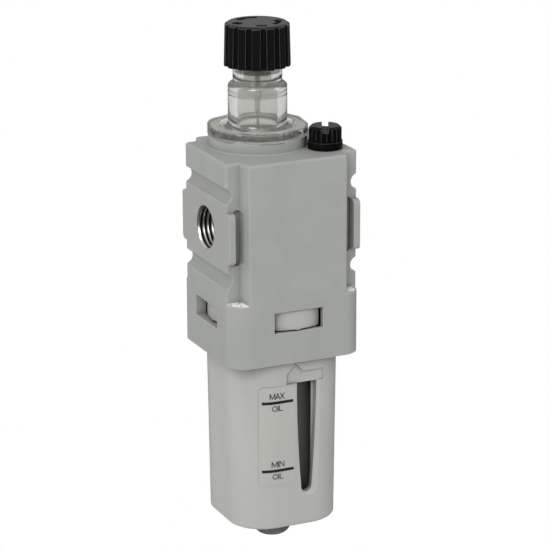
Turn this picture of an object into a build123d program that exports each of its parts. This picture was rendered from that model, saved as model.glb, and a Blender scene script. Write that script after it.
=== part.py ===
from build123d import *
import os
from math import atan, cos, degrees, radians, sin, sqrt, tan

# Air line lubricator with quarter inch pipe ports, in millimetres.
# The origin is the point where the port axis crosses the axis of the oil bowl.
# Air runs along +X, the front with the sight slot faces -Y, and +Z is up.

# Fits shared by several pieces
running = 0.06           # radial clearance of a piece that turns or slides in its bore
loose = 0.25             # clearance where nothing has to be guided
ring_nip = 0.02          # what an O-ring stands clear of the faces it seals

# Head casting
body_width = 40.0        # across the two port faces, X
wing_depth = 28.4        # port ends, Y
plate_setback = 5.1      # port face to the edge of the front and back plates
plate_slant = 1.0        # by how much the plates are wider where they meet the wings
depth_less = 2.7         # by how much the depth across the plates, Y, is less than the width
top_rise = 21.2          # port axis to the flat top
casting_edge = 0.8       # rounding of the casting's outer edges
groove_offset = 12.1     # clamp grooves above and below the port axis
groove_radius = 2.3
groove_depth = 1.95
collar_depth = 32.8      # clamp collar round each port, Y
collar_height = 14.6
collar_corner = 1.5
collar_thickness = 1.9
channel_web = 26.0       # Y between the floors of the clamp channels behind the collar
channel_height = 16.0
channel_corner = 1.3
channel_bite = 0.4       # what the clamp channels take off the plates

# Air way through the head
port_radius = 6.15       # mean radius of the quarter inch pipe thread
port_depth = 10.0
passage_radius = 4.75

# Skirt of the head, which takes the bowl
skirt_drop = 37.0        # port axis to the skirt's lower edge
skirt_height = 18.5
skirt_corner = 5.6
skirt_edge = 1.0
lug_clearance = 0.3      # lugs to the cavity's wall
cavity_web = 0.15        # least wall between the cavity and the skirt's faces
cavity_roof = 20.2       # depth of the bowl flange's seat under the port axis
window_width = 15.0
window_top = 21.8
window_height = 6.0
ledge_radius = 15.5
ledge_half_angle = 20.0

# Boss and sight dome
dome_x = -2.43
dome_y = 3.24
boss_radius = 13.95
boss_height = 3.2
boss_fillet = 0.5
flange_radius = 14.1     # the dome's flange before its flats are cut
flange_flats = 26.9      # across the six flats of the dome's flange
flange_height = 2.8
flange_turn = 22.0       # degrees that the flats are turned about the dome's axis
moat_radius = 10.9       # outer edge of the moat round the dome's foot
moat_depth = 0.9
foot_radius = 2.3        # fillet from the dome's wall into the moat
dome_radius = 8.3
dome_height = 12.0       # flange top to the shoulder
shoulder_radius = 1.3
dome_line_drop = 3.0     # shoulder to the fine groove round the dome
dome_line_width = 0.3
dome_line_depth = 0.15
neck_radius = 6.9
neck_height = 8.1
spigot_radius = 9.4
spigot_length = 7.0
dome_ring_share = 1 / 7  # section of the dome's O-ring as a part of the spigot's wall
chamber_radius = 5.6     # the drip chamber's wall
riser_radius = 0.6       # oil way up the dome's wall
riser_turn = 65.0        # degrees from the +X axis to the riser, at the dome's back
drip_hole_radius = 1.25

# Needle valve under the knob
seat_height = 4.3
seat_clear_of_neck = 1.1 # dome shoulder top to the top of the seat piece, upwards
nozzle_radius = 0.85
nozzle_length = 5.1
orifice_radius = 0.35
cone_share = 0.4         # part of the seat piece's height that lies under the conical seat
bush_radius = 3.9
bush_clear_of_seat = 1.4 # seat piece to the bush, where the bare needle shows
bush_height = 5.65
bush_floor = 0.35
needle_radius = 0.78
needle_tip_radius = 0.15
needle_half_angle = 20.0 # degrees of the needle's point
stem_radius = 1.5        # plain part of the spindle that carries the O-ring
stem_ring_share = 0.28   # section of that O-ring as a part of the stem's radius
screw_radius = 2.0       # mean radius of the spindle's thread
screw_engagement = 2.6
drive_flats = 3.2        # hexagon that slides in the knob's hub
drive_length = 3.2
spindle_up = 1.4         # travel when the valve is opened
spindle_down = 0.1       # travel to the closed valve

# Adjusting knob
knob_radius = 9.35
knob_top_radius = 9.05
knob_height = 12.05
knob_wall = 1.9
knob_hub_radius = 3.6
snap_rise = 1.2          # bead that holds the knob on the neck, above its lower edge
snap_height = 0.9
snap_depth = 0.35
knob_ribs = 14
knob_flute_width = 1.9
knob_flute_depth = 0.85
knob_rib_turn = -0.6     # degrees from the +X axis to the first flute
knob_bevel = 0.9         # radial width of the bevelled rim
knob_bevel_height = 0.6
knob_clear_of_dome = 4.75 # dome shoulder top to the knob's lower edge

# Fill plug
plug_x = 12.78
plug_y = -8.68
plug_base_radius = 4.87
plug_base_height = 2.2
plug_grip_radius = 4.6
plug_height = 6.5        # base and grip together
plug_bevel = 0.75
plug_ribs = 18
plug_rib_depth = 0.4
plug_slot_width = 1.8
plug_slot_depth = 1.4
plug_slot_turn = 65.0    # degrees from the +X axis to the slot
plug_shank_radius = 3.4
plug_shank_length = 5.6
plug_ring_section = 0.5
fill_way_radius = 1.3
fill_way_x = 6.6         # where the filling way enters the bowl
fill_way_y = -7.1

# Bowl
bowl_radius = 13.0
bowl_wall = 1.9
bowl_socket_rise = 7.4   # head's bowl socket above the cavity roof
bowl_neck_length = 7.2
bowl_flange_radius = 15.4
bowl_flange_height = 1.7
bowl_length = 62.8       # under side of the flange to the shoulder of the bottom
bowl_bottom_radius = 5.0
nub_radius = 5.6
nub_length = 10.1
nub_round = 3.2
nub_wall = 2.0
bowl_ring_section = 0.6

# Guard round the bowl
guard_top_width = 33.4
guard_bottom_width = 32.1
guard_corner = 10.5
guard_wall = 2.2
guard_gap = 0.3          # skirt to the guard's shoulder
guard_bottom = 87.4      # depth of the guard's lower face under the port axis
guard_floor = 1.8
guard_hole_radius = 9.0
guard_edge = 0.9
guard_neck_radius = 15.2
lug_half_angle = 22.2
lug_height = 5.35
lug_gap = 0.4            # lug above its ledge at rest
key_half_width = 1.2     # detent key under each lug
key_depth = 0.34

# Sight slot and arrow recess in the guard, and the level label
slot_top = 44.0
slot_straight = 75.9     # depth where the slot's rounded end begins
slot_left = 0.6          # sides of the slot at its top, in the middle and at the rounded end
slot_left_middle = 1.0
slot_left_low = 2.15
slot_right = 6.68
slot_right_middle = 6.3
slot_right_low = 5.35
mouth_left = 0.3         # by how much the slot's bevelled mouth is wider on its left
mouth_right = 1.9
mouth_depth = 0.6
recess_depth = 0.6
recess_left = -2.9
recess_rise = 3.0        # recess side above the slot's top edge
arrow_x = -0.2
arrow_rise = 6.1
arrow_right = 2.4
arrow_right_rise = 3.5
label_left = -10.9
label_right = 0.0
label_top = 44.2
label_height = 29.5
label_corner = 1.2
label_thickness = 0.12

# Damper and its retainer
retainer_radius = 10.2
retainer_height = 3.0
retainer_boss_radius = 5.5
retainer_ring_section = 0.55
vane_radius = 4.2
vane_thickness = 0.8
vane_root_radius = 0.6
vane_root_width = 3.0

# Siphon
siphon_x = -2.0
siphon_y = 6.6
siphon_stub_radius = 3.0
siphon_stub_length = 8.2
siphon_radius = 2.0
siphon_bore = 1.2
siphon_socket = 3.7
siphon_clear = 3.2       # lower end of the filter above the bowl's floor
filter_radius = 3.0
filter_height = 5.0
filter_grip = 3.6
check_ball_radius = 1.5
check_ball_travel = 0.8
oil_way_radius = 0.8

# Ball that throttles the way into the bowl while the fill plug is out
refill_ball_radius = 1.0
refill_x = -7.0
refill_y = -3.2
refill_bore = 0.6
refill_chamber = 2.4

# Places worked out from the sizes above
body_depth = body_width - depth_less
half_width = body_width / 2
half_depth = body_depth / 2
plate_width = body_width - 2 * plate_setback
plate_base_width = plate_width + 2 * plate_slant
channel_inner = plate_base_width / 2 - channel_bite
cavity_radius = half_depth - cavity_web
lug_radius = cavity_radius - lug_clearance
skirt_top = skirt_height - skirt_drop
boss_top = top_rise + boss_height
flange_top = boss_top + flange_height
dome_shoulder = flange_top + dome_height
neck_top = dome_shoulder + neck_height
socket_floor = boss_top - spigot_length
seat_top = dome_shoulder + seat_clear_of_neck
seat_bottom = seat_top - seat_height
bush_bottom = seat_top + bush_clear_of_seat
bush_top = bush_bottom + bush_height
thread_bottom = bush_top - screw_engagement
knob_bottom = dome_shoulder + knob_clear_of_dome
knob_top = knob_bottom + knob_height
hub_bottom = bush_top + spindle_up + loose
spindle_top = hub_bottom + drive_length
snap_bottom = knob_bottom + snap_rise
snap_top = snap_bottom + snap_height + 2 * running
window_bottom = window_top + window_height
socket_radius = bowl_radius + running
socket_roof = bowl_socket_rise - cavity_roof
lug_bottom = lug_gap - window_bottom
lug_top = lug_bottom + lug_height
guard_shoulder = -skirt_drop - guard_gap
bowl_inner = bowl_radius - bowl_wall
bowl_shoulder = lug_top - bowl_length
bowl_floor = bowl_shoulder + bowl_wall
boss_seat = -passage_radius - loose
retainer_bottom = socket_roof - retainer_height
siphon_end = bowl_floor + siphon_clear
ball_seat = retainer_bottom - siphon_stub_length + siphon_socket
dome_axis = Pos(dome_x, dome_y, 0)
plug_axis = Pos(plug_x, plug_y, 0)


def disc(radius, low, high):
    return Pos(0, 0, (low + high) / 2) * Cylinder(radius, high - low)


def tube(radius, bore, low, high):
    return disc(radius, low, high) - disc(bore, low, high)


def hexagon(flats, low, high):
    return extrude(Pos(0, 0, low) * RegularPolygon(flats / 2, 6, major_radius=False), high - low)


def block(width, depth, corner, low, high):
    return extrude(Pos(0, 0, low) * RectangleRounded(width, depth, corner), high - low)


def rims(shape, radius, height):
    # Circular edges of one radius at one level
    return shape.edges().filter_by(GeomType.CIRCLE).filter_by(
        lambda edge: abs(edge.radius - radius) < 0.01 and abs(edge.center().Z - height) < 0.01
    )


def drilling(start, end, radius):
    way = Vector(*end) - Vector(*start)
    return extrude(Plane(origin=start, z_dir=way) * Circle(radius), way.length)


def sector(radius, bore, half_angle, low, high, turn):
    # Ring segment centred on the direction given by turn
    reach = 2 * radius
    wedge = Polyline(
        (0, 0),
        (reach * cos(radians(half_angle)), -reach * sin(radians(half_angle))),
        (reach * cos(radians(half_angle)), reach * sin(radians(half_angle))),
        close=True,
    )
    cutter = extrude(Pos(0, 0, low) * make_face(wedge), high - low)
    return Rot(0, 0, turn) * (tube(radius, bore, low, high) & cutter)


def o_ring(bore, section, height):
    # Ring that fills the gap between a groove and a bore around it
    return Pos(0, 0, height) * Torus(bore - section - ring_nip, section)


def ring_groove(bore, section, height):
    # What is turned away on a shaft to take the ring above
    low = height - section - ring_nip
    high = height + section + ring_nip
    return tube(bore + section, bore - 2 * section - 2 * ring_nip, low, high)


def head_block():
    low = skirt_edge - skirt_drop
    outline = Rectangle(body_width, wing_depth) + plate_outline(1) + plate_outline(-1)
    casting = extrude(Pos(0, 0, low) * outline, top_rise - low)
    corners = casting.edges().filter_by(Axis.Z).filter_by(outer_corner)
    casting = fillet(corners + casting.faces().sort_by(Axis.Z)[-1].edges(), casting_edge)
    collar = extrude(
        Plane.YZ * RectangleRounded(collar_depth, collar_height, collar_corner),
        half_width,
        both=True,
    )
    casting += collar
    channel_width = half_width - collar_thickness - channel_inner
    channel_x = channel_inner + channel_width / 2
    for side in (-1, 1):
        for face in (-1, 1):
            floor = Plane(
                origin=(side * channel_x, face * channel_web / 2, 0),
                x_dir=(1, 0, 0),
                z_dir=(0, face, 0),
            )
            opening = RectangleRounded(channel_width, channel_height, channel_corner)
            casting -= extrude(floor * opening, half_depth)
        for level in (-groove_offset, groove_offset):
            groove_x = side * (half_width + groove_radius - groove_depth)
            groove = Rot(90, 0, 0) * Cylinder(groove_radius, body_depth)
            casting -= Pos(groove_x, 0, level) * groove
    return casting


def plate_outline(face):
    # Trapezium of the front plate, face -1, or of the back plate, face 1
    corners = Polyline(
        (-plate_base_width / 2, 0),
        (-plate_base_width / 2, face * wing_depth / 2),
        (-plate_width / 2, face * half_depth),
        (plate_width / 2, face * half_depth),
        (plate_base_width / 2, face * wing_depth / 2),
        (plate_base_width / 2, 0),
        close=True,
    )
    return make_face(corners)


def outer_corner(edge):
    # Upright edges at the port faces and at the faces of the two plates
    place = edge.center()
    return abs(place.X) > half_width - loose or abs(place.Y) > half_depth - loose


def head_skirt():
    skirt = block(body_width, body_depth, skirt_corner, -skirt_drop, skirt_top)
    return fillet(skirt.faces().sort_by(Axis.Z)[-1].edges(), skirt_edge)


def bayonet_cuts():
    # Cavity, bowl socket and windows, with the four ledges left standing
    cut = disc(cavity_radius, -skirt_drop, -window_top)
    cut += disc(bowl_flange_radius + loose, -window_top, -cavity_roof)
    for turn in (0, 90, 180, 270):
        cut -= sector(cavity_radius, ledge_radius, ledge_half_angle, -skirt_drop, -window_bottom, turn)
        key = key_profile(-window_bottom, key_half_width + loose, key_depth + loose / 2)
        cut += Rot(0, 0, turn) * extrude(Plane.YZ * key, cavity_radius)
        window_middle = -(window_top + window_bottom) / 2
        window = Box(half_width, window_width, window_height)
        cut += Rot(0, 0, turn) * Pos(half_width * 1.1, 0, window_middle) * window
    return cut


def key_profile(base, half_key, depth):
    # Triangle that points down, with its sides drawn on to one millimetre past the base line's ends
    reach = half_key + 1
    top = base + depth / half_key
    corners = Polyline((-reach, top), (reach, top), (0, base - depth), close=True)
    return make_face(corners)


def head_body():
    head = head_block() + head_skirt()
    boss = disc(boss_radius, 0, boss_top)
    head += dome_axis * boss
    head = fillet(rims(head, boss_radius, top_rise), boss_fillet)
    head -= bayonet_cuts()
    head -= disc(socket_radius, -cavity_roof, socket_roof)
    head -= disc(retainer_boss_radius + running, socket_roof, 0)
    head -= Rot(0, 90, 0) * Cylinder(passage_radius, body_width)
    for side in (-1, 1):
        port = Rot(0, 90, 0) * Cylinder(port_radius, port_depth)
        head -= Pos(side * (half_width - port_depth / 2), 0, 0) * port
    head -= dome_axis * disc(spigot_radius + running, socket_floor, boss_top)
    head -= dome_axis * disc(drip_hole_radius, 0, socket_floor)
    riser = riser_place()
    riser_foot = (dome_x + riser.X, dome_y + riser.Y, socket_floor)
    head -= drilling((siphon_x, siphon_y, socket_roof), riser_foot, oil_way_radius)
    head -= plug_axis * disc(plug_shank_radius + running, plug_hole_floor(), top_rise)
    seat_radius = plug_shank_radius + 2 * plug_ring_section + 3 * ring_nip
    head -= plug_axis * disc(seat_radius, top_rise - 2 * plug_ring_section - 2 * ring_nip, top_rise)
    fill_way_top = (plug_x, plug_y, plug_hole_floor())
    head -= drilling((fill_way_x, fill_way_y, socket_roof), fill_way_top, fill_way_radius)
    head -= Pos(refill_x, refill_y, 0) * disc(oil_way_radius, socket_roof, 0)
    return head


def riser_place():
    # The oil way lies in the middle of the dome's wall
    return Vector((chamber_radius + dome_radius) / 2, 0, 0).rotate(Axis.Z, riser_turn)


def plug_hole_floor():
    return top_rise - plug_shank_length - loose


def sight_dome():
    moat_floor = flange_top - moat_depth
    wall = disc(dome_radius, moat_floor, dome_shoulder)
    wall = fillet(wall.faces().sort_by(Axis.Z)[-1].edges(), shoulder_radius)
    dome = disc(flange_radius, boss_top, flange_top) - disc(moat_radius, moat_floor, flange_top) + wall
    dome = fillet(rims(dome, dome_radius, moat_floor), foot_radius)
    dome += disc(spigot_radius, socket_floor, boss_top)
    dome += disc(neck_radius, dome_shoulder - shoulder_radius, neck_top)
    dome -= tube(neck_radius, neck_radius - snap_depth, snap_bottom, snap_top)
    flats = Rot(0, 0, flange_turn) * hexagon(flange_flats, boss_top, flange_top)
    dome -= disc(flange_radius + loose, boss_top, flange_top) - flats
    dome -= disc(chamber_radius, socket_floor, seat_top)
    dome -= disc(bush_radius, seat_top, neck_top)
    dome -= ring_groove(spigot_radius + running, dome_ring_section(), dome_ring_height())
    line = dome_shoulder - dome_line_drop
    dome -= tube(dome_radius + loose, dome_radius - dome_line_depth, line - dome_line_width, line)
    riser = riser_place()
    dome -= Pos(riser) * disc(riser_radius, socket_floor, gallery_height())
    gallery_low = gallery_height() - riser_radius
    dome -= drilling((0, 0, gallery_low), (riser.X, riser.Y, gallery_low), orifice_radius)
    return dome_axis * dome


def dome_ring_section():
    return (spigot_radius - chamber_radius) * dome_ring_share


def dome_ring_height():
    return boss_top - spigot_length / 2


def gallery_height():
    # Where the riser meets the groove of the seat piece
    return seat_top - 2 * riser_radius


def dome_o_ring():
    return dome_axis * o_ring(spigot_radius + running, dome_ring_section(), dome_ring_height())


def needle_seat():
    plug = disc(chamber_radius - ring_nip, seat_bottom, seat_top)
    plug += disc(nozzle_radius, seat_bottom - nozzle_length, seat_bottom)
    plug -= disc(orifice_radius, seat_bottom - nozzle_length, seat_top)
    cone_height = needle_bore() - orifice_radius
    cone = Pos(0, 0, seat_cone() + cone_height / 2) * Cone(orifice_radius, needle_bore(), cone_height)
    plug -= cone + disc(needle_bore(), seat_cone() + cone_height, seat_top)
    low = gallery_height() - riser_radius
    plug -= tube(chamber_radius, chamber_radius - riser_radius, low, low + 2 * riser_radius)
    port = Rot(0, 90, 0) * Cylinder(orifice_radius, chamber_radius)
    plug -= Rot(0, 0, riser_turn) * Pos(chamber_radius / 2, 0, gallery_height()) * port
    return dome_axis * plug


def needle_bore():
    return needle_radius + loose


def seat_cone():
    # Lower end of the conical seat in the seat piece
    return seat_bottom + seat_height * cone_share


def spindle_bush():
    bush = disc(bush_radius, bush_bottom, bush_top)
    bush -= disc(needle_bore(), bush_bottom, bush_bottom + bush_floor)
    bush -= disc(stem_bore(), bush_bottom + bush_floor, thread_bottom)
    bush -= disc(screw_radius + running, thread_bottom, bush_top)
    return dome_axis * bush


def stem_bore():
    return stem_radius + running


def stem_bottom():
    return bush_bottom + bush_floor + spindle_down + ring_nip


def needle_ring_section():
    return stem_radius * stem_ring_share


def needle_ring_height():
    return stem_bottom() + 2 * needle_ring_section()


def needle_o_ring():
    return dome_axis * o_ring(stem_bore(), needle_ring_section(), needle_ring_height())


def needle_spindle():
    slope = tan(radians(needle_half_angle))
    reach = (orifice_radius - ring_nip - needle_tip_radius) / slope
    tip = seat_cone() - reach + spindle_down
    taper = (needle_radius - needle_tip_radius) / slope
    spindle = Pos(0, 0, tip + taper / 2) * Cone(needle_tip_radius, needle_radius, taper)
    spindle += disc(needle_radius, tip + taper, stem_bottom())
    spindle += disc(stem_radius, stem_bottom(), thread_bottom + spindle_down + ring_nip)
    spindle += disc(screw_radius, thread_bottom + spindle_down + ring_nip, bush_top)
    spindle += hexagon(drive_flats, bush_top, spindle_top)
    spindle -= ring_groove(stem_bore(), needle_ring_section(), needle_ring_height())
    return dome_axis * spindle


def knob_blank():
    side = knob_height - knob_bevel_height
    blank = Pos(0, 0, knob_bottom + side / 2) * Cone(knob_radius, knob_top_radius, side)
    rim = Cone(knob_top_radius, knob_top_radius - knob_bevel, knob_bevel_height)
    return blank + Pos(0, 0, knob_top - knob_bevel_height / 2) * rim


def adjusting_knob():
    knob = knob_blank()
    flute_centre = knob_radius + knob_flute_width / 2 - knob_flute_depth
    flute = Pos(flute_centre, 0, 0) * disc(knob_flute_width / 2, knob_bottom, knob_top)
    mouth = Pos(flute_centre + knob_flute_width / 2, 0, (knob_bottom + knob_top) / 2)
    flute += mouth * Box(knob_flute_width, knob_flute_width, knob_height)
    for index in range(knob_ribs):
        knob -= Rot(0, 0, knob_rib_turn + index * 360 / knob_ribs) * flute
    hollow_top = knob_top - knob_wall
    knob -= disc(neck_radius + running, knob_bottom, hollow_top)
    bead_bottom = snap_bottom + running
    bead_bore = neck_radius - snap_depth + running
    knob += tube(neck_radius + running, bead_bore, bead_bottom, bead_bottom + snap_height)
    knob += disc(knob_hub_radius, hub_bottom, hollow_top)
    knob -= hexagon(drive_flats + 2 * running, hub_bottom, hollow_top)
    return dome_axis * knob


def fill_plug():
    base = disc(plug_base_radius, top_rise, top_rise + plug_base_height)
    grip = disc(plug_grip_radius, top_rise, top_rise + plug_height)
    grip = chamfer(grip.faces().sort_by(Axis.Z)[-1].edges(), plug_bevel)
    flute = Pos(plug_grip_radius + plug_rib_depth, 0, 0)
    flute *= disc(2 * plug_rib_depth, top_rise + plug_base_height, top_rise + plug_height)
    for index in range(plug_ribs):
        grip -= Rot(0, 0, index * 360 / plug_ribs) * flute
    slot = Pos(0, 0, top_rise + plug_height) * Box(3 * plug_grip_radius, plug_slot_width, 2 * plug_slot_depth)
    plug = base + grip - Rot(0, 0, plug_slot_turn) * slot
    plug += disc(plug_shank_radius, top_rise - plug_shank_length, top_rise)
    shank_end = plug.faces().sort_by(Axis.Z)[0].edges()
    return plug_axis * chamfer(shank_end, plug_rib_depth)


def fill_plug_o_ring():
    height = top_rise - plug_ring_section - ring_nip
    ring = Torus(plug_shank_radius + plug_ring_section + ring_nip, plug_ring_section)
    return plug_axis * Pos(0, 0, height) * ring


def damper_retainer():
    retainer = disc(retainer_radius, retainer_bottom, socket_roof)
    retainer += disc(retainer_boss_radius, socket_roof, boss_seat)
    retainer -= ring_groove(retainer_boss_radius + running, retainer_ring_section, retainer_ring_height())
    root = Rot(90, 0, 0) * Cylinder(vane_root_radius + running, vane_root_width + 2 * loose)
    retainer -= Pos(0, 0, boss_seat) * root
    retainer -= Pos(fill_way_x, fill_way_y, 0) * disc(fill_way_radius + loose, retainer_bottom, socket_roof)
    stub_bottom = retainer_bottom - siphon_stub_length
    stub = disc(siphon_stub_radius, stub_bottom, retainer_bottom)
    siphon_axis = Pos(siphon_x, siphon_y, 0)
    retainer += siphon_axis * stub
    retainer -= siphon_axis * disc(siphon_radius, stub_bottom, ball_seat)
    chamber_top = ball_seat + 2 * check_ball_radius + check_ball_travel + loose
    retainer -= siphon_axis * disc(check_ball_radius + loose, ball_seat, chamber_top)
    retainer -= siphon_axis * disc(oil_way_radius, chamber_top, socket_roof)
    refill_axis = Pos(refill_x, refill_y, 0)
    retainer -= refill_axis * disc(refill_bore, retainer_bottom, socket_roof)
    retainer -= refill_axis * disc(refill_ball_radius + loose, socket_roof - refill_chamber, socket_roof)
    return retainer


def retainer_ring_height():
    return (socket_roof + boss_seat) / 2


def retainer_o_ring():
    return o_ring(retainer_boss_radius + running, retainer_ring_section, retainer_ring_height())


def flow_damper():
    vane = Rot(0, 90, 0) * Cylinder(vane_radius, vane_thickness)
    vane += Pos(0, 0, boss_seat / 2) * Box(vane_thickness, vane_root_width, -boss_seat)
    return vane + Pos(0, 0, boss_seat) * Rot(90, 0, 0) * Cylinder(vane_root_radius, vane_root_width)


def siphon_tube():
    pipe = tube(siphon_radius, siphon_bore, siphon_end + filter_height - filter_grip, ball_seat)
    return Pos(siphon_x, siphon_y, 0) * pipe


def siphon_filter():
    cup = disc(filter_radius, siphon_end, siphon_end + filter_height)
    cup -= disc(siphon_radius, siphon_end + filter_height - filter_grip, siphon_end + filter_height)
    cup = fillet(cup.faces().sort_by(Axis.Z)[0].edges(), filter_radius / 4)
    return Pos(siphon_x, siphon_y, 0) * cup


def resting_ball(radius, bore, x, y, seat):
    # Ball that lies on the edge of a bore
    return Pos(x, y, seat + sqrt(radius**2 - bore**2) + ring_nip) * Sphere(radius)


def siphon_check_ball():
    return resting_ball(check_ball_radius, siphon_bore, siphon_x, siphon_y, ball_seat)


def refill_check_ball():
    floor = socket_roof - refill_chamber
    return resting_ball(refill_ball_radius, refill_bore, refill_x, refill_y, floor)


def bowl_profile(radius, nub, low, bend, rounding, top, floor_level):
    # Half section of a round vessel with a rounded nub under its shoulder
    shell = disc(radius, floor_level, top)
    shell = fillet(shell.faces().sort_by(Axis.Z)[0].edges(), bend)
    foot = disc(nub, low, floor_level + bend)
    return shell + fillet(foot.faces().sort_by(Axis.Z)[0].edges(), rounding)


def bowl_shell():
    flange_top_z = lug_top + bowl_flange_height
    neck_end = flange_top_z + bowl_neck_length
    nub_bottom = bowl_shoulder - nub_length
    outer = bowl_profile(
        bowl_radius, nub_radius, nub_bottom, bowl_bottom_radius, nub_round, neck_end, bowl_shoulder
    )
    outer += disc(bowl_flange_radius, lug_top, flange_top_z)
    inner = bowl_profile(
        bowl_inner,
        nub_radius - nub_wall,
        nub_bottom + nub_wall,
        bowl_bottom_radius - bowl_wall / 2,
        nub_round - nub_wall / 2,
        neck_end,
        bowl_floor,
    )
    return outer - inner - ring_groove(socket_radius, bowl_ring_section, bowl_ring_height())


def bowl_ring_height():
    return lug_top + bowl_flange_height + bowl_neck_length / 2


def bowl_o_ring():
    return o_ring(socket_radius, bowl_ring_section, bowl_ring_height())


def guard_slope():
    return (guard_top_width - guard_bottom_width) / 2 / (guard_bottom + guard_shoulder)


def guard_form(grow, low, high):
    # Rounded square that narrows towards the bottom, grown by an equal wall
    width = guard_bottom_width + 2 * guard_slope() * (low + guard_bottom) + 2 * grow
    outline = Pos(0, 0, low) * RectangleRounded(width, width, guard_corner + grow)
    return extrude(outline, high - low, taper=-degrees(atan(guard_slope())))


def guard_face():
    # Plane of the guard's leaning front face, with its x along X and its y up the face
    middle = guard_bottom_width / 2 + guard_slope() * guard_bottom
    return Plane(origin=(0, -middle, 0), x_dir=(1, 0, 0), z_dir=(0, -1, -guard_slope()))


def slot_outline(wider_left, wider_right):
    # Slot with bowed sides and a rounded end
    left = (slot_left - wider_left, -slot_top)
    right = (slot_right + wider_right, -slot_top)
    half_way = -(slot_top + slot_straight) / 2
    left_low = (slot_left_low - wider_left, -slot_straight)
    right_low = (slot_right_low + wider_right, -slot_straight)
    end_radius = (right_low[0] - left_low[0]) / 2
    outline = Line(left, right)
    outline += ThreePointArc(right, (slot_right_middle + wider_right, half_way), right_low)
    outline += ThreePointArc(right_low, (left_low[0] + end_radius, -slot_straight - end_radius), left_low)
    outline += ThreePointArc(left_low, (slot_left_middle - wider_left, half_way), left)
    return make_face(outline)


def sight_slot():
    # Straight opening behind a bevelled mouth that is wide on the right
    opening = extrude(guard_face() * slot_outline(0, 0), guard_wall, both=True)
    outside = guard_face() * slot_outline(mouth_left, mouth_right)
    inside = guard_face() * Pos(0, 0, -mouth_depth) * slot_outline(0, 0)
    return opening + loft([outside, inside], ruled=True)


def arrow_recess():
    # Shallow recess over the slot with an arrow head that points at the detent
    right = slot_right + mouth_right
    outline = Polyline(
        (recess_left, -slot_top),
        (recess_left, recess_rise - slot_top),
        (arrow_x, arrow_rise - slot_top),
        (arrow_right, arrow_right_rise - slot_top),
        (right, arrow_right_rise - slot_top),
        (right, -slot_top),
        close=True,
    )
    return extrude(guard_face() * Pos(0, 0, -recess_depth) * make_face(outline), guard_wall)


def bowl_guard():
    guard = guard_form(0, -guard_bottom, guard_shoulder)
    guard = fillet(guard.faces().sort_by(Axis.Z)[0].edges(), guard_edge)
    guard -= guard_form(-guard_wall, guard_floor - guard_bottom, guard_shoulder - guard_wall)
    guard -= disc(guard_hole_radius, -guard_bottom, guard_floor - guard_bottom)
    guard += disc(guard_neck_radius, guard_shoulder - guard_wall, lug_top)
    guard -= disc(bowl_radius + loose, guard_shoulder - guard_wall, lug_top)
    for turn in (0, 90, 180, 270):
        guard += sector(lug_radius, bowl_radius + loose, lug_half_angle, lug_bottom, lug_top, turn)
        key = extrude(Plane.YZ * key_profile(lug_bottom, key_half_width, key_depth), lug_radius)
        key = Rot(0, 0, turn) * key & tube(lug_radius, ledge_radius, lug_bottom - key_depth, lug_bottom)
        guard += key
    return guard - sight_slot() - arrow_recess()


def level_label():
    low = -label_top - label_height
    skin = guard_form(label_thickness, low, -label_top) - guard_form(0, low, -label_top)
    middle = (label_left + label_right) / 2
    patch = block(label_right - label_left, label_height, label_corner, 0, guard_top_width)
    return skin & Pos(middle, 0, low + label_height / 2) * Rot(90, 0, 0) * patch


nodes = {
    "head_body": head_body,
    "sight_dome": sight_dome,
    "dome_o_ring": dome_o_ring,
    "needle_seat": needle_seat,
    "spindle_bush": spindle_bush,
    "needle_o_ring": needle_o_ring,
    "needle_spindle": needle_spindle,
    "adjusting_knob": adjusting_knob,
    "fill_plug": fill_plug,
    "fill_plug_o_ring": fill_plug_o_ring,
    "damper_retainer": damper_retainer,
    "retainer_o_ring": retainer_o_ring,
    "flow_damper": flow_damper,
    "siphon_tube": siphon_tube,
    "siphon_filter": siphon_filter,
    "siphon_check_ball": siphon_check_ball,
    "refill_check_ball": refill_check_ball,
    "bowl": bowl_shell,
    "bowl_o_ring": bowl_o_ring,
    "bowl_guard": bowl_guard,
    "level_label": level_label,
}

os.makedirs("parts", exist_ok=True)
for name, make in nodes.items():
    export_step(make(), f"parts/{name}.step")
    print(name)
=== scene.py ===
import math

import bmesh
import bpy
import numpy as np
from mathutils import Matrix, Vector


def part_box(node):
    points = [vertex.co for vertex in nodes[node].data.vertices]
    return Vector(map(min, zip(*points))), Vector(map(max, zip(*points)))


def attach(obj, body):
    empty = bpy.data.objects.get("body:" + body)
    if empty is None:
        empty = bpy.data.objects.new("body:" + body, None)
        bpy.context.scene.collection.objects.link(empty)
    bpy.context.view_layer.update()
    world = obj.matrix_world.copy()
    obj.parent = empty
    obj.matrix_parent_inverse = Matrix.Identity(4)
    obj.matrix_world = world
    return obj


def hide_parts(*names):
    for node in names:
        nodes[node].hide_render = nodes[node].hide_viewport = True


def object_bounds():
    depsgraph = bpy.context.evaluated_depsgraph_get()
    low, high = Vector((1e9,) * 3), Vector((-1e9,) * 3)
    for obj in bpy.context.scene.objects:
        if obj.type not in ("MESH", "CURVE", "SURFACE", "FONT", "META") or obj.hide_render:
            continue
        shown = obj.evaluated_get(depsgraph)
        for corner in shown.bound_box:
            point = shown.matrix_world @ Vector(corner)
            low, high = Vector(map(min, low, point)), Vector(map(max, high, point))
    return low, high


# Small air line lubricator dressed around its CAD frame. Sizes in the dictionaries are millimetres.

mm = 0.001
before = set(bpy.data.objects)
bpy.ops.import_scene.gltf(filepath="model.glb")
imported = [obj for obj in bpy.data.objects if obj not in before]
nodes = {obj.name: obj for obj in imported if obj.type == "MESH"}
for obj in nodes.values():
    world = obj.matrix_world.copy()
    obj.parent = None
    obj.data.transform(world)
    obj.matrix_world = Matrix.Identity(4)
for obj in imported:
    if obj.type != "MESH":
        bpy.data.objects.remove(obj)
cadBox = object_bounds()
print("frame loaded:", len(nodes), "nodes")


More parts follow.
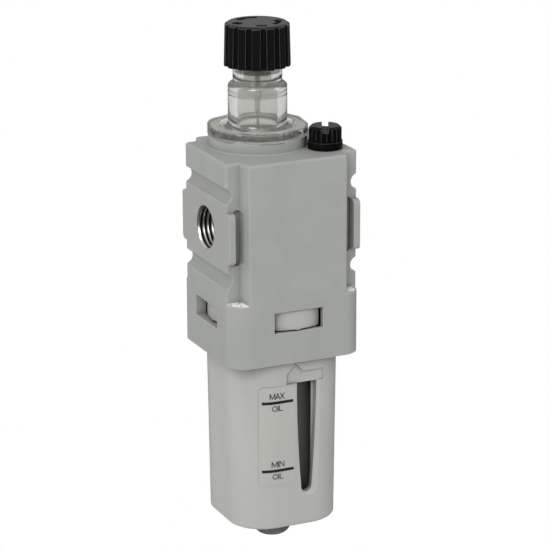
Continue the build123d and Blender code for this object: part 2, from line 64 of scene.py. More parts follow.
def nodeBox(name):
    # lowest and highest corner of a CAD node in millimetres
    low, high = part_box(name)
    return np.array(low) / mm, np.array(high) / mm


headHigh = nodeBox("head_body")[1]
knobLow, knobHigh = nodeBox("adjusting_knob")
domeFoot = nodeBox("sight_dome")[0][2]
guardFoot = nodeBox("bowl_guard")[0][2]
labelFoot = nodeBox("level_label")[0][2]
bossTop = headHigh[2]
domeX, domeY = (knobLow[:2] + knobHigh[:2]) / 2


# materials

def linearColour(hexValue):
    # sRGB hex to the linear colour that Blender works in
    channels = [int(hexValue[i:i + 2], 16) / 255 for i in (1, 3, 5)]
    linear = [c / 12.92 if c <= 0.04045 else ((c + 0.055) / 1.055) ** 2.4 for c in channels]
    return (*linear, 1.0)


def addNode(tree, kind, settings=None, inputs=None, links=None):
    # One node with its settings, its fixed inputs and the sockets that feed it. Maths and mix nodes take
    # theirs by number: of a mix, 0 is the share, 2 and 3 are its two values, and 6 and 7 its two colours.
    node = tree.nodes.new(kind)
    for key, value in (settings or {}).items():
        setattr(node, key, value)
    for key, value in (inputs or {}).items():
        node.inputs[key].default_value = value
    for key, socket in (links or {}).items():
        tree.links.new(socket, node.inputs[key])
    return node


def newMaterial(name, inputs):
    material = bpy.data.materials.new(name)
    material.use_nodes = True
    tree = material.node_tree
    shader = tree.nodes["Principled BSDF"]
    for key, value in inputs.items():
        shader.inputs[key].default_value = value
    return material, tree, shader


def evenMaterial(name, colour, inputs):
    # material of one colour without any pattern
    return newMaterial(name, {"Base Color": linearColour(colour), **inputs})[0]


# rays at each point for recesses, edge lines, open room and rounded edges; more of them give less noise
rays = {"shade": 8, "line": 8, "room": 6, "round": 6}


def addGrain(tree, shader, grainSize, depth, detail=3.0, edgeRound=0.2):
    # bump of rounded grains over softened edges; grainSize, depth and edgeRound in millimetres
    place = addNode(tree, "ShaderNodeTexCoord")
    noise = addNode(
        tree,
        "ShaderNodeTexNoise",
        inputs={"Scale": 1 / (grainSize * mm), "Detail": detail, "Roughness": 0.55},
        links={"Vector": place.outputs["Object"]},
    )
    edge = addNode(
        tree, "ShaderNodeBevel", settings={"samples": rays["round"]}, inputs={"Radius": edgeRound * mm}
    )
    bump = addNode(
        tree,
        "ShaderNodeBump",
        inputs={"Strength": 1.0, "Distance": depth * mm},
        links={"Height": noise.outputs["Fac"], "Normal": edge.outputs["Normal"]},
    )
    tree.links.new(bump.outputs["Normal"], shader.inputs["Normal"])
    return place


# noise values below which a patch is all dark and above which it is all light
mottleBlend = {"darkBelow": 0.35, "lightAbove": 0.65}


def addMottle(tree, shader, place, light, dark, patchSize):
    # two close colours in soft patches, patchSize in millimetres
    noise = addNode(
        tree,
        "ShaderNodeTexNoise",
        inputs={"Scale": 1 / (patchSize * mm), "Detail": 2.0},
        links={"Vector": place.outputs["Object"]},
    )
    ramp = addNode(tree, "ShaderNodeValToRGB", links={"Fac": noise.outputs["Fac"]})
    lower, upper = ramp.color_ramp.elements
    lower.position, upper.position = mottleBlend["darkBelow"], mottleBlend["lightAbove"]
    lower.color, upper.color = linearColour(dark), linearColour(light)
    tree.links.new(ramp.outputs["Color"], shader.inputs["Base Color"])


# The light that reaches a face goes by the share of open room round it. Each pair is that share and the
# light, in a gap and in the open, and cornerRoom is the share in an inner corner.
shadeSteps = {"gap": (0.05, 0.05), "cornerRoom": 0.35, "open": (0.95, 1.0)}


def addShade(tree, shader, reach, cornerLight):
    # recesses take less light and narrow gaps go almost black; reach in millimetres
    source = shader.inputs["Base Color"].links[0].from_socket
    room = addNode(
        tree,
        "ShaderNodeAmbientOcclusion",
        settings={"samples": rays["shade"]},
        inputs={"Distance": reach * mm},
    )
    ramp = addNode(tree, "ShaderNodeValToRGB", links={"Fac": room.outputs["AO"]})
    steps = ramp.color_ramp.elements
    for step, (share, light) in zip(steps, (shadeSteps["gap"], shadeSteps["open"])):
        step.position = share
        step.color = (light, light, light, 1.0)
    steps.new(shadeSteps["cornerRoom"]).color = (cornerLight, cornerLight, cornerLight, 1.0)
    shaded = addNode(
        tree,
        "ShaderNodeVectorMath",
        settings={"operation": "MULTIPLY"},
        links={0: source, 1: ramp.outputs["Color"]},
    )
    tree.links.new(shaded.outputs["Vector"], shader.inputs["Base Color"])


# An edge line grows as the cosine between a face's normal and one rounded over the edge falls from flat to
# turned. A face with less open room than openRoom, within roomRadii times the line's radius, gets none.
edgeLook = {"flat": 0.97, "turned": 0.86, "roomRadii": 4, "openRoom": 0.75}


def addPaintedEdgeLines(tree, shader, radius, lineColour, share):
    # thin painted lines of another colour along outer edges, light ones as painted highlights and dark ones
    # as
    #     painted shade, but not in inner corners, which are closed in
    edge = addNode(
        tree, "ShaderNodeBevel", settings={"samples": rays["line"]}, inputs={"Radius": radius * mm}
    )
    face = addNode(tree, "ShaderNodeNewGeometry")
    match = addNode(
        tree,
        "ShaderNodeVectorMath",
        settings={"operation": "DOT_PRODUCT"},
        links={0: edge.outputs["Normal"], 1: face.outputs["Normal"]},
    )
    turned = addNode(
        tree,
        "ShaderNodeMapRange",
        inputs={"From Min": edgeLook["flat"], "From Max": edgeLook["turned"], "To Max": share},
        links={"Value": match.outputs["Value"]},
    )
    room = addNode(
        tree,
        "ShaderNodeAmbientOcclusion",
        settings={"samples": rays["room"]},
        inputs={"Distance": edgeLook["roomRadii"] * radius * mm},
    )
    outer = addNode(
        tree,
        "ShaderNodeMapRange",
        inputs={"From Min": edgeLook["openRoom"]},
        links={"Value": room.outputs["AO"]},
    )
    edgeLineShare = addNode(
        tree,
        "ShaderNodeMath",
        settings={"operation": "MULTIPLY"},
        links={0: turned.outputs["Result"], 1: outer.outputs["Result"]},
    )
    colour = shader.inputs["Base Color"]
    mixed = addNode(tree, "ShaderNodeMix", settings={"data_type": "RGBA"}, links={0: edgeLineShare.outputs[0]})
    if colour.links:
        tree.links.new(colour.links[0].from_socket, mixed.inputs[6])
    else:
        mixed.inputs[6].default_value = colour.default_value
    mixed.inputs[7].default_value = linearColour(lineColour)
    tree.links.new(mixed.outputs[2], colour)


# painted highlight: the small ledges on the skirt's four corners are painted white in patches, where light
# catches them
ledgeHighlight = {"level": -18.5, "reach": 0.35, "patch": 1.3, "sharp": (0.38, 0.52), "colour": "#f4f3ec"}


def paintLedgeHighlights(tree, shader, place):
    # painted highlight: bright colour on faces that look up at the ledges' level, broken up by noise
    height = addNode(tree, "ShaderNodeSeparateXYZ", links={0: place.outputs["Object"]})
    atLevel = addNode(
        tree,
        "ShaderNodeMath",
        settings={"operation": "COMPARE"},
        inputs={1: ledgeHighlight["level"] * mm, 2: ledgeHighlight["reach"] * mm},
        links={0: height.outputs["Z"]},
    )
    facing = addNode(tree, "ShaderNodeNewGeometry")
    upward = addNode(tree, "ShaderNodeSeparateXYZ", links={0: facing.outputs["Normal"]})
    ledge = addNode(
        tree,
        "ShaderNodeMath",
        settings={"operation": "MULTIPLY", "use_clamp": True},
        links={0: atLevel.outputs[0], 1: upward.outputs["Z"]},
    )
    noise = addNode(
        tree,
        "ShaderNodeTexNoise",
        inputs={"Scale": 1 / (ledgeHighlight["patch"] * mm), "Detail": 3.0},
        links={"Vector": place.outputs["Object"]},
    )
    patches = addNode(
        tree,
        "ShaderNodeMapRange",
        inputs={"From Min": ledgeHighlight["sharp"][0], "From Max": ledgeHighlight["sharp"][1]},
        links={"Value": noise.outputs["Fac"]},
    )
    bright = addNode(
        tree,
        "ShaderNodeMath",
        settings={"operation": "MULTIPLY"},
        links={0: ledge.outputs[0], 1: patches.outputs["Result"]},
    )
    colour = addNode(
        tree,
        "ShaderNodeMix",
        settings={"data_type": "RGBA"},
        links={0: bright.outputs[0], 6: shader.inputs["Base Color"].links[0].from_socket},
    )
    colour.inputs[7].default_value = linearColour(ledgeHighlight["colour"])
    tree.links.new(colour.outputs[2], shader.inputs["Base Color"])


# the dome's seat and socket are cut after painting: bare bright aluminium shows through the clear flange
cutSeat = {"radius": 13.3, "level": 8.0, "colour": "#f2f1ec", "roughness": 0.45}


def bareSeat(tree, shader, place):
    # metal in place of paint inside a radius round the dome's axis and above a level
    inPlane = addNode(
        tree,
        "ShaderNodeVectorMath",
        settings={"operation": "MULTIPLY"},
        inputs={1: (1, 1, 0)},
        links={0: place.outputs["Object"]},
    )
    fromAxis = addNode(
        tree,
        "ShaderNodeVectorMath",
        settings={"operation": "DISTANCE"},
        inputs={1: (domeX * mm, domeY * mm, 0)},
        links={0: inPlane.outputs["Vector"]},
    )
    inside = addNode(
        tree,
        "ShaderNodeMath",
        settings={"operation": "LESS_THAN"},
        inputs={1: cutSeat["radius"] * mm},
        links={0: fromAxis.outputs["Value"]},
    )
    height = addNode(tree, "ShaderNodeSeparateXYZ", links={0: place.outputs["Object"]})
    above = addNode(
        tree,
        "ShaderNodeMath",
        settings={"operation": "GREATER_THAN"},
        inputs={1: cutSeat["level"] * mm},
        links={0: height.outputs["Z"]},
    )
    bare = addNode(
        tree,
        "ShaderNodeMath",
        settings={"operation": "MULTIPLY"},
        links={0: inside.outputs[0], 1: above.outputs[0]},
    )
    metal = addNode(
        tree,
        "ShaderNodeBsdfPrincipled",
        inputs={
            "Base Color": linearColour(cutSeat["colour"]),
            "Roughness": cutSeat["roughness"],
            "Metallic": 1.0,
        },
    )
    skin = addNode(
        tree, "ShaderNodeMixShader", links={0: bare.outputs[0], 1: shader.outputs[0], 2: metal.outputs[0]}
    )
    tree.links.new(skin.outputs[0], tree.nodes["Material Output"].inputs["Surface"])


# Stoved light grey paint on a die-casting: even and half matt, and its fine pebbled skin breaks up
# highlights. The grain is drawn a little coarser than the real one, so that it shows. The shade is its
# reach and the light in an inner corner, and the edges are painted highlight lines with a radius, a
# colour and a strength.
headPaint = {
    "light": "#a1a39f",
    "dark": "#9d9f9b",
    "patch": 9.0,
    "roughness": 0.5,
    "grain": 0.35,
    "depth": 0.012,
    "shade": (2.2, 0.72),
    "edges": (0.3, "#d8d8d4", 0.6),
}
castPaint, tree, shader = newMaterial("castPaint", {"Roughness": headPaint["roughness"], "IOR": 1.5})
place = addGrain(tree, shader, headPaint["grain"], headPaint["depth"])
addMottle(tree, shader, place, headPaint["light"], headPaint["dark"], headPaint["patch"])
addShade(tree, shader, *headPaint["shade"])
# painted highlights: light lines along the paint's outer edges
addPaintedEdgeLines(tree, shader, *headPaint["edges"])
# painted highlights on the skirt's corner ledges
paintLedgeHighlights(tree, shader, place)
bareSeat(tree, shader, place)

# Moulded light grey nylon: warmer and brighter than the paint, half matt from a lightly etched mould, whose
# grain is drawn coarser than the real one too.
guardNylon = {
    "light": "#b5b6b1",
    "dark": "#b1b2ad",
    "patch": 12.0,
    "roughness": 0.42,
    "grain": 0.25,
    "depth": 0.006,
    "shade": (7.0, 0.45),
    "edges": (0.3, "#d8d8d4", 0.5),
}
etchedNylon, tree, shader = newMaterial("etchedNylon", {"Roughness": guardNylon["roughness"], "IOR": 1.53})
place = addGrain(tree, shader, guardNylon["grain"], guardNylon["depth"])
addMottle(tree, shader, place, guardNylon["light"], guardNylon["dark"], guardNylon["patch"])
addShade(tree, shader, *guardNylon["shade"])
# painted highlights: light lines along the guard's outer edges
addPaintedEdgeLines(tree, shader, *guardNylon["edges"])

# Clear moulded polycarbonate: a high index, so that its edges and fillets draw dark and bright lines. A
# little haze softens what is seen through it, and clearness is 1 without any.
clearPlastic = {
    "colour": "#e2e2de",
    "roughness": 0.07,
    "edgeRound": 0.3,
    "edges": (0.34, "#2c2d2a", 1.0),
    "clearness": 0.9,
}
clearPolycarbonate, tree, shader = newMaterial(
    "clearPolycarbonate",
    {
        "Base Color": linearColour(clearPlastic["colour"]),
        "Roughness": clearPlastic["roughness"],
        "IOR": 1.585,
        "Transmission Weight": clearPlastic["clearness"],
    },
)
edge = addNode(
    tree,
    "ShaderNodeBevel",
    settings={"samples": rays["round"]},
    inputs={"Radius": clearPlastic["edgeRound"] * mm},
)
tree.links.new(edge.outputs["Normal"], shader.inputs["Normal"])
# painted shade: dark lines along the outer edges, in place of those that refraction draws there
addPaintedEdgeLines(tree, shader, *clearPlastic["edges"])

# the same plastic in the bowl, dulled by an oil film
bowlPolycarbonate = evenMaterial(
    "bowlPolycarbonate", "#898987", {"Roughness": 0.2, "IOR": 1.585, "Transmission Weight": 0.6}
)

# Black acetal, moulded: deep black, with thin grey lines painted along the edges of the ribs as
# highlights. The knob's open top mirrors the room in grey, while the fill plug is dull from oil and dust
# and stays black. The shine rises between the two shares of open room, so that the flutes stay dark.
blackPlastic = {
    "colour": "#0b0b0b",
    "roughness": 0.22,
    "grain": 0.3,
    "depth": 0.004,
    "edgeRound": 0.25,
    "lineRadius": 0.16,
    "reach": 2.0,
    "room": (0.55, 0.95),
    "closedShine": 0.02,
}


def makeBlack(name, lineColour, openShine):
    size = blackPlastic
    material, tree, shader = newMaterial(
        name, {"Base Color": linearColour(size["colour"]), "Roughness": size["roughness"], "IOR": 1.48}
    )
    addGrain(tree, shader, size["grain"], size["depth"], edgeRound=size["edgeRound"])
    # painted highlights: thin grey lines along the ribs' outer edges
    addPaintedEdgeLines(tree, shader, size["lineRadius"], lineColour, share=1.0)
    room = addNode(
        tree,
        "ShaderNodeAmbientOcclusion",
        settings={"samples": rays["room"]},
        inputs={"Distance": size["reach"] * mm},
    )
    shine = addNode(
        tree,
        "ShaderNodeMapRange",
        inputs={
            "From Min": size["room"][0],
            "From Max": size["room"][1],
            "To Min": size["closedShine"],
            "To Max": openShine,
        },
        links={"Value": room.outputs["AO"]},
    )
    tree.links.new(shine.outputs["Result"], shader.inputs["Specular IOR Level"])
    return material


blackAcetal = makeBlack("blackAcetal", lineColour="#767676", openShine=0.5)
wornAcetal = makeBlack("wornAcetal", lineColour="#6a6a6a", openShine=0.14)

# natural acetal, moulded: milky white, half matt
naturalAcetal = evenMaterial("naturalAcetal", "#e4e2d8", {"Roughness": 0.4, "IOR": 1.48})

# nitrile rubber, moulded: black, with a dull skin
nitrileRubber = evenMaterial("nitrileRubber", "#1a1a1a", {"Roughness": 0.55, "IOR": 1.52})

# painted shade: turned brass, dull, its colour darkened for the shade that it lies in under the clear dome
brassInPaintedShade = evenMaterial("brassInPaintedShade", "#37332b", {"Roughness": 0.4, "Metallic": 1.0})

# sintered bronze: brown metal made of visible grains
sinteredBronze, tree, shader = newMaterial(
    "sinteredBronze", {"Base Color": linearColour("#9a7a4c"), "Roughness": 0.5, "Metallic": 1.0}
)
addGrain(tree, shader, grainSize=0.4, depth=0.08, detail=1.0)

# ground steel ball: plain mirror-like grey metal
groundSteel = evenMaterial("groundSteel", "#c9cacb", {"Roughness": 0.12, "Metallic": 1.0})

# Cut aluminium in the threads: bright on the crests and darker towards the bottom of each groove.
# Crest and root are radii, and the darkening starts behind the mouth.
grooveTone = {"crest": 5.72, "root": 6.02, "bright": "#e2e0d8", "dark": "#1c1b19", "mouth": 0.55}


def darkenGrooveRoots(tree, shader):
    # from bright to dark with the distance from the port axis, but all bright in the chamfered mouth
    place = addNode(tree, "ShaderNodeTexCoord")
    offAxis = addNode(
        tree,
        "ShaderNodeVectorMath",
        settings={"operation": "MULTIPLY"},
        inputs={1: (0, 1, 1)},
        links={0: place.outputs["Object"]},
    )
    distance = addNode(
        tree, "ShaderNodeVectorMath", settings={"operation": "LENGTH"}, links={0: offAxis.outputs["Vector"]}
    )
    groove = addNode(
        tree,
        "ShaderNodeMapRange",
        inputs={"From Min": grooveTone["crest"] * mm, "From Max": grooveTone["root"] * mm},
        links={"Value": distance.outputs["Value"]},
    )
    along = addNode(tree, "ShaderNodeSeparateXYZ", links={0: place.outputs["Object"]})
    fromMiddle = addNode(
        tree, "ShaderNodeMath", settings={"operation": "ABSOLUTE"}, links={0: along.outputs["X"]}
    )
    behindMouth = addNode(
        tree,
        "ShaderNodeMath",
        settings={"operation": "LESS_THAN"},
        inputs={1: (headHigh[0] - grooveTone["mouth"]) * mm},
        links={0: fromMiddle.outputs[0]},
    )
    rootShare = addNode(
        tree,
        "ShaderNodeMath",
        settings={"operation": "MULTIPLY"},
        links={0: groove.outputs["Result"], 1: behindMouth.outputs[0]},
    )
    colour = addNode(tree, "ShaderNodeMix", settings={"data_type": "RGBA"}, links={0: rootShare.outputs[0]})
    colour.inputs[6].default_value = linearColour(grooveTone["bright"])
    colour.inputs[7].default_value = linearColour(grooveTone["dark"])
    tree.links.new(colour.outputs[2], shader.inputs["Base Color"])


cutAluminium, tree, shader = newMaterial("cutAluminium", {"Roughness": 0.3, "Metallic": 1.0})
darkenGrooveRoots(tree, shader)

# printed polyester film: smooth, faintly shiny silver grey
labelFilm = evenMaterial("labelFilm", "#b4b4af", {"Roughness": 0.35, "IOR": 1.6})

# screen-printing ink: flat black
printInk = evenMaterial("printInk", "#1c1c1c", {"Roughness": 0.6, "IOR": 1.5})

# engraved marks in the black knob: the rough floor of the engraving gives no highlight
engravedBlack = evenMaterial("engravedBlack", "#060606", {"Roughness": 0.9, "IOR": 1.2})

finishes = {
    "head_body": castPaint,
    "bowl_guard": etchedNylon,
    "sight_dome": clearPolycarbonate,
    "needle_seat": clearPolycarbonate,
    "bowl": bowlPolycarbonate,
    "adjusting_knob": blackAcetal,
    "fill_plug": wornAcetal,
    "spindle_bush": blackAcetal,
    "damper_retainer": naturalAcetal,
    "siphon_tube": naturalAcetal,
    "needle_spindle": brassInPaintedShade,
    "siphon_filter": sinteredBronze,
    "siphon_check_ball": groundSteel,
    "refill_check_ball": groundSteel,
    "level_label": labelFilm,
    "dome_o_ring": nitrileRubber,
    "needle_o_ring": nitrileRubber,
    "fill_plug_o_ring": nitrileRubber,
    "retainer_o_ring": nitrileRubber,
    "bowl_o_ring": nitrileRubber,
    "flow_damper": nitrileRubber,
}
for name, material in finishes.items():
    nodes[name].data.materials.clear()
    nodes[name].data.materials.append(material)
print("finishes on", len(finishes), "nodes")


# new pieces

def meshFromGrid(name, points, material, closeColumns=True, flip=False):
    # points is rows x columns x 3 in millimetres; neighbouring points become quads
    rows, columns = points.shape[:2]
    index = np.arange(rows * columns).reshape(rows, columns)
    right = np.roll(index, -1, axis=1) if closeColumns else index[:, 1:]
    left = index if closeColumns else index[:, :-1]
    quads = np.stack([left[:-1], right[:-1], right[1:], left[1:]], axis=-1).reshape(-1, 4)
    if flip:
        quads = quads[:, ::-1]
    mesh = bpy.data.meshes.new(name)
    mesh.from_pydata((points.reshape(-1, 3) * mm).tolist(), [], quads.tolist())
    mesh.polygons.foreach_set("use_smooth", np.ones(len(mesh.polygons), dtype=bool))
    mesh.materials.append(material)
    mesh.update()
    piece = bpy.data.objects.new(name, mesh)
    bpy.context.collection.objects.link(piece)
    return piece


# Pipe thread in each port. The radius is a clipped saw wave of (distance along the bore / pitch - angle /
# turn), which draws one helical groove from the crest radius to the bore's own wall. The crest comes up
# over the lead.
portThread = {
    "crest": 5.68,
    "root": 6.13,
    "pitch": 1.337,
    "length": 9.6,
    "lead": 0.9,
    "flank": 1.25,
    "around": 120,
    "perTurn": 14,
}


def makeThread(name, side):
    size = portThread
    steps = int(size["length"] / size["pitch"] * size["perTurn"])
    angle = np.linspace(0, 2 * np.pi, size["around"], endpoint=False)[None, :]
    depth = np.linspace(0, size["length"], steps)[:, None]
    phase = (depth / size["pitch"] - angle / (2 * np.pi)) % 1
    saw = np.abs(2 * phase - 1)
    wave = np.clip(0.5 + (saw - 0.5) * size["flank"], 0, 1)
    crest = size["root"] - (size["root"] - size["crest"]) * np.clip(depth / size["lead"], 0, 1)
    radius = crest + (size["root"] - crest) * wave
    x = side * (headHigh[0] - depth) + 0 * angle
    points = np.stack([x, radius * np.cos(angle), radius * np.sin(angle)], axis=-1)
    thread = meshFromGrid(name, points, cutAluminium, flip=side < 0)
    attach(thread, "head")


makeThread("inlet_thread", -1)
makeThread("outlet_thread", 1)
print("port threads cut")


# The dome's flange lies wet on its seat, which then shows through it, and the spigot ends clear of the
# metal. Steps are upwards, and what lies within reach of a level moves with it.
domeSeat = {"flange": -0.04, "spigot": 0.04, "reach": 0.002, "merge": 0.0001}


def moveFaces(name, levels):
    # merged copy of a node in which what lies at each level is moved up by that level's step
    mesh = nodes[name].data.copy()
    mesh.name = name + "Seen"
    shape = bmesh.new()
    shape.from_mesh(mesh)
    bmesh.ops.remove_doubles(shape, verts=shape.verts, dist=domeSeat["merge"] * mm)
    shape.to_mesh(mesh)
    shape.free()
    points = np.empty(3 * len(mesh.vertices))
    mesh.vertices.foreach_get("co", points)
    height = points[2::3] / mm
    for level, step in levels.items():
        points[2::3] += np.where(np.abs(height - level) < domeSeat["reach"], step * mm, 0)
    mesh.vertices.foreach_set("co", points)
    mesh.update()
    seen = bpy.data.objects.new(name + "Seen", mesh)
    bpy.context.collection.objects.link(seen)
    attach(seen, "head")
    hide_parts(name)


moveFaces("sight_dome", {bossTop: domeSeat["flange"], domeFoot: domeSeat["spigot"]})
print("dome seated")


# Marks engraved in the knob's top: two curved arrows, a plus and a minus. Angles are degrees from +X. An
# arrow has the angle where it starts, the one where its band stops and the one that its head takes. Stem
# is a share of the width, and barb one of half the width.
knobMarks = {
    "radius": 5.9,
    "wide": 1.5,
    "tall": 3.1,
    "stem": 0.8,
    "barb": 2.2,
    "height": 0.03,
    "steps": 16,
    "plusTurn": 179.0,
    "minusTurn": -102.0,
}
knobArrows = {"openArrow": (66.0, 118.0, 17.0), "closeArrow": (-62.0, -14.0, 17.0)}


def knobMark(name, outline):
    # flat face just over the knob's top from x, y points round the knob's axis, in millimetres
    level = knobHigh[2] + knobMarks["height"]
    flat = np.array(outline) + (domeX, domeY)
    corners = np.column_stack([flat, np.full(len(flat), level)]) * mm
    mesh = bpy.data.meshes.new(name)
    mesh.from_pydata(corners.tolist(), [], [list(range(len(corners)))])
    mesh.materials.append(engravedBlack)
    piece = bpy.data.objects.new(name, mesh)
    bpy.context.collection.objects.link(piece)
    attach(piece, "knob")


def curvedArrow(name, start, stop, headTurn):
    # band between two radii from start to stop that ends in a head of headTurn degrees
    radius, half = knobMarks["radius"], knobMarks["wide"] / 2
    turn = np.radians(np.linspace(start, stop, knobMarks["steps"]))
    ring = np.column_stack([np.cos(turn), np.sin(turn)])
    tip = np.radians(stop + headTurn)
    point = radius * np.array([np.cos(tip), np.sin(tip)])
    inner = ring * (radius - half)
    outer = ring * (radius + half)
    barb = knobMarks["barb"] * half
    knobMark(name, [*outer, ring[-1] * (radius + barb), point, ring[-1] * (radius - barb), *inner[::-1]])


def turnedBar(name, turn, across, along):
    # bar on the marks' circle; across runs along the radius, along runs round the knob
    angle = math.radians(turn)
    outward = np.array([math.cos(angle), math.sin(angle)])
    sideways = np.array([-outward[1], outward[0]])
    centre = knobMarks["radius"] * outward
    signs = ((-1, -1), (1, -1), (1, 1), (-1, 1))
    knobMark(name, [centre + a * across / 2 * outward + b * along / 2 * sideways for a, b in signs])


for name, (start, stop, headTurn) in knobArrows.items():
    curvedArrow(name, start, stop, headTurn)
wide, tall = knobMarks["wide"], knobMarks["tall"]
turnedBar("plusBar", knobMarks["plusTurn"], wide, tall)
turnedBar("plusStem", knobMarks["plusTurn"], tall, wide * knobMarks["stem"])
turnedBar("minusBar", knobMarks["minusTurn"], wide, tall)
print("knob marked")


# level marks printed on the label, which bends round the guard's corner
levelMarks = {
    "maxBar": {"left": -10.2, "right": -0.9, "level": -48.85, "thick": 0.85},
    "minBar": {"left": -10.1, "right": -0.6, "level": -69.4, "thick": 0.85},
    "maxText": {"words": "MAX", "left": -8.1, "right": -3.6, "level": -47.8, "tall": 1.7},
    "maxOil": {"words": "OIL", "left": -7.4, "right": -4.1, "level": -51.4, "tall": 1.6},
    "minText": {"words": "MIN", "left": -7.5, "right": -3.5, "level": -68.3, "tall": 1.7},
    "minOil": {"words": "OIL", "left": -7.2, "right": -3.8, "level": -71.95, "tall": 1.6},
}
ink = {"height": 0.035, "stroke": 0.24, "overrun": 0.06, "barSteps": 16}

# The guard's half width at its foot and its corner radius at the label's foot. Both grow with the height
# by the slope, and the label's film lies on top.
guardFront = {"halfAtFoot": 16.05, "corner": 10.5, "slope": 0.01297, "film": 0.12}


def inkFace(x, level):
    # Y of the ink on the label's face: flat in the middle, and past that an arc with the corner's radius
    size = guardFront
    half = size["halfAtFoot"] + size["slope"] * (level - guardFoot) + size["film"]
    corner = size["corner"] + size["slope"] * (level - labelFoot) + size["film"]
    past = np.maximum(np.abs(x) - (half - corner), 0)
    return -(half - corner + np.sqrt(corner**2 - past**2)) - ink["height"]


def printBar(name, left, right, level, thick):
    # strip of the label's face: X from left to right, Z half the thickness below and above the level
    x = np.linspace(left, right, ink["barSteps"])
    x, z = np.meshgrid(x, [level - thick / 2, level + thick / 2])
    points = np.stack([x, inkFace(x, z), z], axis=-1)
    bar = meshFromGrid(name, points, printInk, closeColumns=False)
    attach(bar, "bowl_unit")


# Letters of the level marks as strokes of one width. Each stroke runs through points of a box that is 1
# high and as wide as the first number says.
bowlOfO = [(0.4 + 0.34 * math.cos(t), 0.5 + 0.44 * math.sin(t)) for t in np.linspace(0, 2 * math.pi, 25)]
letterStrokes = {
    "M": (0.9, [[(0.07, 0), (0.07, 1), (0.45, 0.12), (0.83, 1), (0.83, 0)]]),
    "A": (0.8, [[(0.04, 0), (0.4, 1), (0.76, 0)], [(0.16, 0.34), (0.64, 0.34)]]),
    "X": (0.75, [[(0.05, 0), (0.7, 1)], [(0.05, 1), (0.7, 0)]]),
    "I": (0.24, [[(0.12, 0), (0.12, 1)]]),
    "N": (0.8, [[(0.08, 0), (0.08, 1), (0.72, 0), (0.72, 1)]]),
    "O": (0.8, [bowlOfO]),
    "L": (0.6, [[(0.08, 1), (0.08, 0.06), (0.56, 0.06)]]),
}


def strokeQuads(points):
    # one quad for each straight run of a stroke, longer by the overrun at both ends
    start, stop = np.array(points[:-1]), np.array(points[1:])
    run = stop - start
    run = run / np.linalg.norm(run, axis=1, keepdims=True)
    side = run[:, ::-1] * (-1, 1) * ink["stroke"] / 2
    start = start - run * ink["overrun"]
    stop = stop + run * ink["overrun"]
    return np.stack([start - side, stop - side, stop + side, start + side], axis=1)


def printWords(name, words, left, right, level, tall):
    # the letters side by side, stretched to their place on the label
    quads = []
    total = sum(letterStrokes[letter][0] for letter in words)
    wide = (right - left) / total
    begin = left
    for letter in words:
        width, strokes = letterStrokes[letter]
        for stroke in strokes:
            placed = np.array(stroke) * (wide, tall) + (begin, level)
            quads.append(strokeQuads(placed))
        begin += width * wide
    flat = np.concatenate(quads).reshape(-1, 2)
    corners = np.column_stack([flat[:, 0], inkFace(flat[:, 0], flat[:, 1]), flat[:, 1]]) * mm
    mesh = bpy.data.meshes.new(name)
    mesh.from_pydata(corners.tolist(), [], np.arange(len(flat)).reshape(-1, 4).tolist())
    mesh.materials.append(printInk)
    piece = bpy.data.objects.new(name, mesh)
    bpy.context.collection.objects.link(piece)
    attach(piece, "bowl_unit")


for name, mark in levelMarks.items():
    if "words" in mark:
        printWords(name, **mark)
    else:
        printBar(name, **mark)
print("level marks printed")


# studio

# World and floor. For reflected rays the world goes from glossLow to glossHigh as they climb through
# glossTurn, and for the rest of the light on the part it is the worldLight.
studio = {
    "floorSize": 8000.0,
    "floorDrop": 0.4,
    "worldLight": 0.5,
    "glossLow": 0.1,
    "glossHigh": 0.62,
    "glossTurn": (0.05, 0.35),
}

# round lamps: power in watts, the disc's width, where it hangs and what it points at
lamps = {
    "keyLight": {"power": 6.4, "size": 600.0, "spot": (-760, -760, 640), "target": (0, 0, -20)},
    "fillLight": {"power": 1.5, "size": 600.0, "spot": (900, -700, 300), "target": (0, 0, -20)},
    "topLight": {"power": 2.6, "size": 600.0, "spot": (-220, -320, 1050), "target": (0, 0, -20)},
    "bounceLight": {
        "power": 0.31,
        "size": 200.0,
        "spot": (-265, 185, -95),
        "target": (0, 0, -65),
        "mirrored": False,
    },
}


def anyRay(tree, *kinds):
    # 1 where the ray is of one of the given kinds
    path = addNode(tree, "ShaderNodeLightPath")
    total = path.outputs[kinds[0]]
    for kind in kinds[1:]:
        links = {0: total, 1: path.outputs[kind]}
        total = addNode(tree, "ShaderNodeMath", settings={"operation": "MAXIMUM"}, links=links).outputs[0]
    return total


def buildWorld():
    # even light on matt faces, pure white behind the part and clear plastic, dark horizon in reflections
    world = bpy.data.worlds.new("studioWorld")
    bpy.context.scene.world = world
    world.use_nodes = True
    tree = world.node_tree
    tree.nodes.clear()
    way = addNode(tree, "ShaderNodeTexCoord")
    parts = addNode(tree, "ShaderNodeSeparateXYZ", links={0: way.outputs["Generated"]})
    gloss = addNode(
        tree,
        "ShaderNodeMapRange",
        inputs={
            "From Min": studio["glossTurn"][0],
            "From Max": studio["glossTurn"][1],
            "To Min": studio["glossLow"],
            "To Max": studio["glossHigh"],
        },
        links={"Value": parts.outputs["Z"]},
    )
    reflected = addNode(
        tree,
        "ShaderNodeMix",
        inputs={2: studio["worldLight"]},
        links={0: anyRay(tree, "Is Glossy Ray"), 3: gloss.outputs["Result"]},
    )
    seen = addNode(
        tree,
        "ShaderNodeMix",
        inputs={3: 1.0},
        links={0: anyRay(tree, "Is Camera Ray", "Is Transmission Ray"), 2: reflected.outputs[0]},
    )
    white = addNode(
        tree,
        "ShaderNodeBackground",
        inputs={"Color": (1, 1, 1, 1)},
        links={"Strength": seen.outputs[0]},
    )
    addNode(tree, "ShaderNodeOutputWorld", links={"Surface": white.outputs[0]})


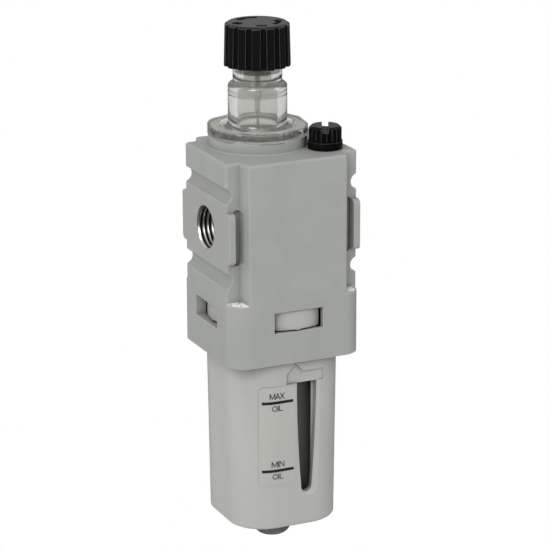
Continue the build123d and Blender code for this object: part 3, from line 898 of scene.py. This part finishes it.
def buildFloor():
    # level square just under the part, white to the camera and dim in reflections
    half = studio["floorSize"] / 2
    level = cadBox[0][2] / mm - studio["floorDrop"]
    line = np.array([-half, half])
    points = np.stack(np.broadcast_arrays(line[None, :], line[:, None], np.array([[level]])), axis=-1)
    material, tree, shader = newMaterial(
        "paleFloor", {"Base Color": linearColour("#f4f4f4"), "Roughness": 0.9}
    )
    white = addNode(tree, "ShaderNodeEmission", inputs={"Color": (1, 1, 1, 1)})
    dim = addNode(
        tree, "ShaderNodeEmission", inputs={"Color": (1, 1, 1, 1), "Strength": studio["glossLow"]}
    )
    mirrored = addNode(
        tree,
        "ShaderNodeMixShader",
        links={0: anyRay(tree, "Is Glossy Ray"), 1: shader.outputs[0], 2: dim.outputs[0]},
    )
    seen = addNode(
        tree,
        "ShaderNodeMixShader",
        links={
            0: anyRay(tree, "Is Camera Ray", "Is Transmission Ray"),
            1: mirrored.outputs[0],
            2: white.outputs[0],
        },
    )
    tree.links.new(seen.outputs[0], tree.nodes["Material Output"].inputs["Surface"])
    floor = meshFromGrid("studioFloor", points, material, closeColumns=False)


def buildLight(name, power, size, spot, target, mirrored=True):
    # one that isn't mirrored gives light but shows in no reflection and through no clear plastic
    light = bpy.data.lights.new(name, "AREA")
    light.energy = power
    light.shape = "DISK"
    light.size = size * mm
    lamp = bpy.data.objects.new(name, light)
    lamp.visible_camera = False
    lamp.visible_glossy = mirrored
    lamp.visible_transmission = mirrored
    lamp.location = Vector(spot) * mm
    lamp.rotation_mode = "QUATERNION"
    lamp.rotation_quaternion = (Vector(target) * mm - lamp.location).to_track_quat("-Z", "Y")
    bpy.context.collection.objects.link(lamp)


buildWorld()
buildFloor()
for name, lamp in lamps.items():
    buildLight(name, **lamp)
print("studio lit")


# The photograph's camera. Azimuth 0 looks along +Y, and angles are in degrees. The port axis crosses the
# bowl axis at the distance, and at the pixel that across and down give. Nothing nearer than near or past
# far shows.
photoCamera = {
    "azimuth": -24.731,
    "elevation": 17.039,
    "roll": -0.183,
    "distance": 722.012,
    "focalPixels": 2560.886,
    "pixels": 550,
    "across": 270.708,
    "down": 218.478,
    "sensor": 36.0,
    "near": 10.0,
    "far": 50000.0,
}


def buildCamera():
    # back points from the part to the camera, and the roll turns right and up about it
    size = photoCamera
    azimuth, elevation, roll = (math.radians(size[key]) for key in ("azimuth", "elevation", "roll"))
    back = Vector(
        (
            math.sin(azimuth) * math.cos(elevation),
            -math.cos(azimuth) * math.cos(elevation),
            math.sin(elevation),
        )
    )
    level = (-back).cross(Vector((0, 0, 1))).normalized()
    upright = level.cross(-back)
    right = level * math.cos(roll) + upright * math.sin(roll)
    up = upright * math.cos(roll) - level * math.sin(roll)
    centre = size["pixels"] / 2
    perPixel = size["distance"] / size["focalPixels"]
    shiftRight = (size["across"] - centre) * perPixel
    shiftUp = (centre - size["down"]) * perPixel
    spot = (back * size["distance"] - right * shiftRight - up * shiftUp) * mm
    data = bpy.data.cameras.new("photoCamera")
    data.sensor_width = size["sensor"]
    data.lens = size["focalPixels"] / size["pixels"] * size["sensor"]
    data.clip_start = size["near"] * mm
    data.clip_end = size["far"] * mm
    camera = bpy.data.objects.new("photoCamera", data)
    turn = Matrix((right, up, back)).transposed().to_4x4()
    camera.matrix_world = Matrix.Translation(spot) @ turn
    bpy.context.collection.objects.link(camera)
    bpy.context.scene.camera = camera


buildCamera()
bpy.context.scene.view_settings.view_transform = "Standard"
print("camera placed")
